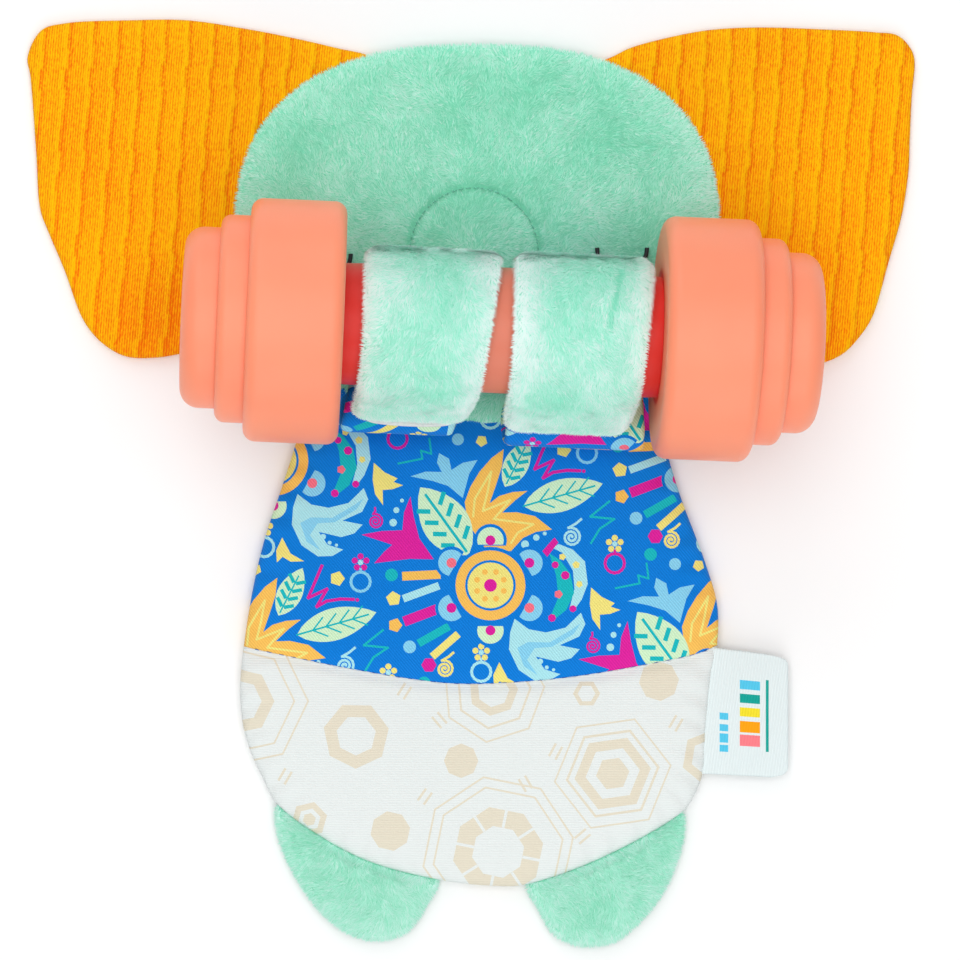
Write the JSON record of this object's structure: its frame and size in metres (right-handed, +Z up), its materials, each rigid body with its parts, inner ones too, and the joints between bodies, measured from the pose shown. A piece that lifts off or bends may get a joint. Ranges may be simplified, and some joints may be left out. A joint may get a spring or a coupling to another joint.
{
  "type": "baby rattle",
  "caption": "Flat plush animal-shaped rattle lying on its back, hugging a round-plated toy dumbbell with beads inside; arms open, ears and feet fold.",
  "frame": {"origin": "under the middle of the whole toy, on the surface it lies on", "axes": "+Z up out of the toy's front, +Y to the top of the head, +X to the viewer's right"},
  "size_m": [0.2236, 0.2322, 0.0703],
  "materials": {
    "mint_plush": "short-pile plush",
    "green_plush": "short-pile plush",
    "orange_knit": "ribbed waffle knit",
    "blue_print": "printed twill",
    "white_print": "printed fine rib",
    "wadding": "polyester fibre",
    "crinkle_film": "thin crackling film",
    "ribbon": "woven satin",
    "coral_plastic": "moulded, satin",
    "bead_plastic": "moulded",
    "black_thread": "embroidery",
    "teal_thread": "stitching",
    "lining": "smooth tricot",
    "hook_loop": "hook and loop tape"
  },
  "bodies": {
    "plush_body": {"head_front_panel": "mint_plush", "head_back_panel": "mint_plush", "head_wadding": "wadding", "muzzle_stitching": "teal_thread", "left_eye_embroidery": "black_thread", "right_eye_embroidery": "black_thread", "shirt_front_panel": "blue_print", "shirt_back_panel": "blue_print", "shorts_front_panel": "white_print", "shorts_back_panel": "white_print", "body_wadding": "wadding", "body_crinkle_film": "crinkle_film", "side_ribbon_tag": "ribbon", "left_sleeve": "blue_print", "right_sleeve": "blue_print", "left_loop_patch": "hook_loop", "right_loop_patch": "hook_loop", "left_ear_root": "orange_knit", "right_ear_root": "orange_knit", "left_foot_root": "green_plush", "right_foot_root": "green_plush"},
    "left_ear": {"left_ear_front_panel": "orange_knit", "left_ear_back_panel": "orange_knit", "left_ear_crinkle_film": "crinkle_film"},
    "right_ear": {"right_ear_front_panel": "orange_knit", "right_ear_back_panel": "orange_knit", "right_ear_crinkle_film": "crinkle_film"},
    "left_foot": {"left_foot_front_panel": "green_plush", "left_foot_back_panel": "green_plush", "left_foot_wadding": "wadding"},
    "right_foot": {"right_foot_front_panel": "green_plush", "right_foot_back_panel": "green_plush", "right_foot_wadding": "wadding"},
    "left_hand": {"left_hand_plush": "mint_plush", "left_hand_lining": "lining", "left_hook_patch": "hook_loop"},
    "right_hand": {"right_hand_plush": "mint_plush", "right_hand_lining": "lining", "right_hook_patch": "hook_loop"},
    "dumbbell": {"dumbbell_front_shell": "coral_plastic", "dumbbell_back_shell": "coral_plastic"},
    "left_beads": {"left_rattle_beads": "bead_plastic"},
    "right_beads": {"right_rattle_beads": "bead_plastic"}
  },
  "joints": [
    {"name": "dumbbell_spin", "type": "hinge", "parent": "plush_body", "child": "dumbbell", "pos_m": [0.0065, 0.0372, 0.0385], "axis": [0.9982, -0.0418, -0.0436], "continuous": true},
    {"name": "left_arm_open", "type": "hinge", "parent": "plush_body", "child": "left_hand", "pos_m": [-0.00972, 0.0578, 0.03523], "axis": [-0.9982, 0.0418, 0.0436], "range_deg": [0, 150]},
    {"name": "left_ear_fold", "type": "hinge", "parent": "plush_body", "child": "left_ear", "pos_m": [-0.06111, 0.07948, 0.0018], "axis": [0.2983, 0.9545, 0], "range_deg": [-75, 20]},
    {"name": "left_foot_fold", "type": "hinge", "parent": "plush_body", "child": "left_foot", "pos_m": [-0.03121, -0.09461, 0.0027], "axis": [-0.9073, 0.4205, 0], "range_deg": [-60, 60]},
    {"name": "left_bead_slide", "type": "slide", "parent": "dumbbell", "child": "left_beads", "axis": [0.9982, -0.0418, -0.0436], "range_m": [-0.0056, 0.0056]},
    {"name": "right_arm_open", "type": "hinge", "parent": "plush_body", "child": "right_hand", "pos_m": [0.02551, 0.05632, 0.03369], "axis": [-0.9982, 0.0418, 0.0436], "range_deg": [0, 150]},
    {"name": "right_ear_fold", "type": "hinge", "parent": "plush_body", "child": "right_ear", "pos_m": [0.06313, 0.07841, 0.0018], "axis": [0.2983, -0.9545, 0], "range_deg": [-75, 20]},
    {"name": "right_foot_fold", "type": "hinge", "parent": "plush_body", "child": "right_foot", "pos_m": [0.03471, -0.09534, 0.0027], "axis": [-0.9104, -0.4138, 0], "range_deg": [-60, 60]},
    {"name": "right_bead_slide", "type": "slide", "parent": "dumbbell", "child": "right_beads", "axis": [0.9982, -0.0418, -0.0436], "range_m": [-0.0056, 0.0056]}
  ]
}
